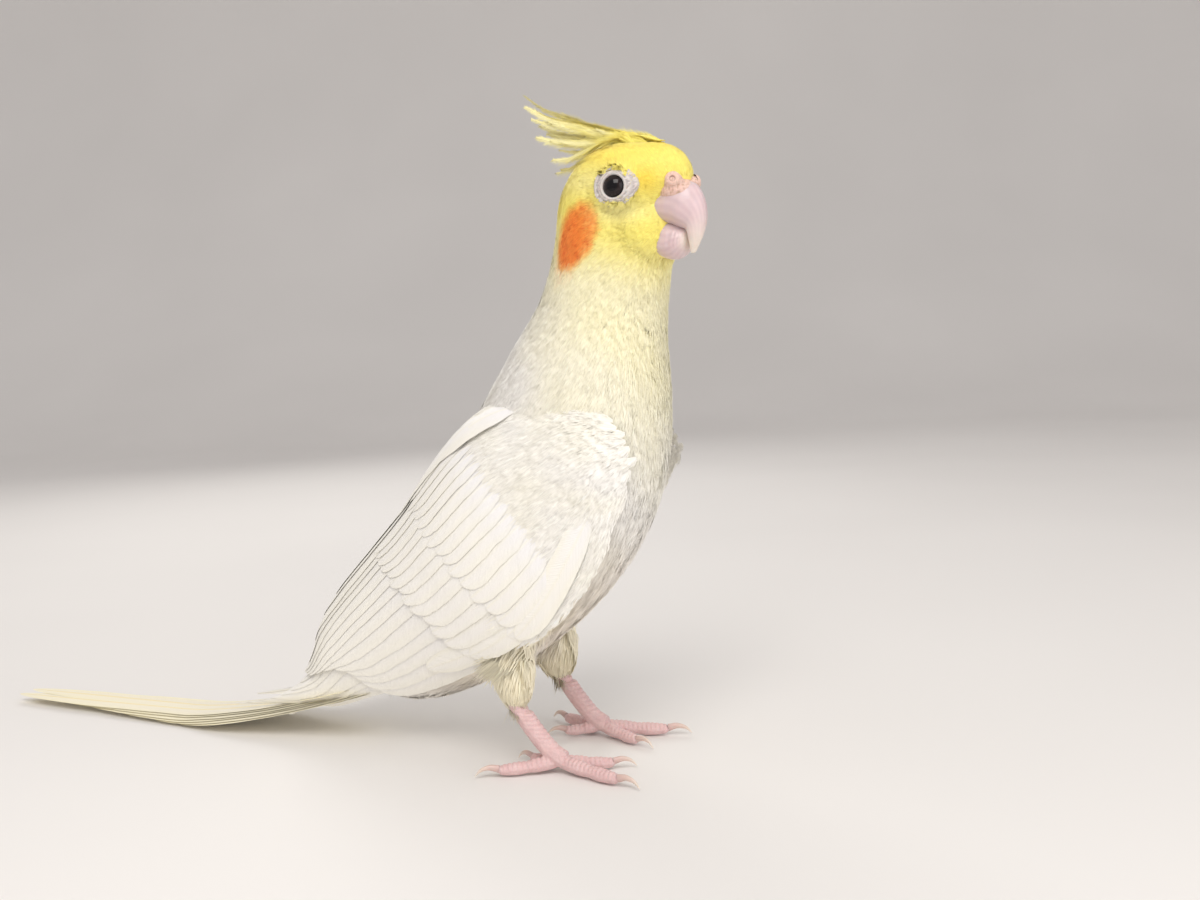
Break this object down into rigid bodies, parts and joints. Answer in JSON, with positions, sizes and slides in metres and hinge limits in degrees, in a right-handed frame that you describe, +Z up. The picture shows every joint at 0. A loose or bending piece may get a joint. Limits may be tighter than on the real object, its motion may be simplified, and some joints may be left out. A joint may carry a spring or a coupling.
{
  "type": "cockatiel",
  "caption": "Life-size lutino cockatiel with a swept crest and folded wings, standing with its long tail laid out behind it, for display scenes.",
  "frame": {"origin": "middle of the overall box at floor level", "axes": "+X the way the bird faces, along its tail and body; +Y its left side; +Z up"},
  "size_m": [0.2466, 0.054, 0.177],
  "materials": {
    "yellow_plumage": "soft silky feathers, bright yellow",
    "cream_plumage": "soft silky feathers, pale cream yellow",
    "white_plumage": "smooth white feathers with a faint yellow tint",
    "bare_skin": "bare pink skin, finely scaled on the feet",
    "bill_horn": "pale pinkish horn, slightly glossy",
    "claw_horn": "pale translucent horn",
    "eye": "very dark and glossy, wet"
  },
  "bodies": {
    "root": {"head": "yellow_plumage", "neck": "cream_plumage", "torso": "white_plumage", "cere": "bare_skin", "bill_upper": "bill_horn", "bill_lower": "bill_horn", "eye_right": "eye", "eye_left": "eye", "crest": "yellow_plumage", "wing_right": "white_plumage", "wing_left": "white_plumage", "tail": "white_plumage", "shank_right": "cream_plumage", "foot_right": "bare_skin", "shank_left": "cream_plumage", "foot_left": "bare_skin", "claw_right_outer_front": "claw_horn", "claw_right_inner_front": "claw_horn", "claw_right_outer_back": "claw_horn", "claw_right_inner_back": "claw_horn", "claw_left_outer_front": "claw_horn", "claw_left_inner_front": "claw_horn", "claw_left_outer_back": "claw_horn", "claw_left_inner_back": "claw_horn"}
  },
  "joints": []
}
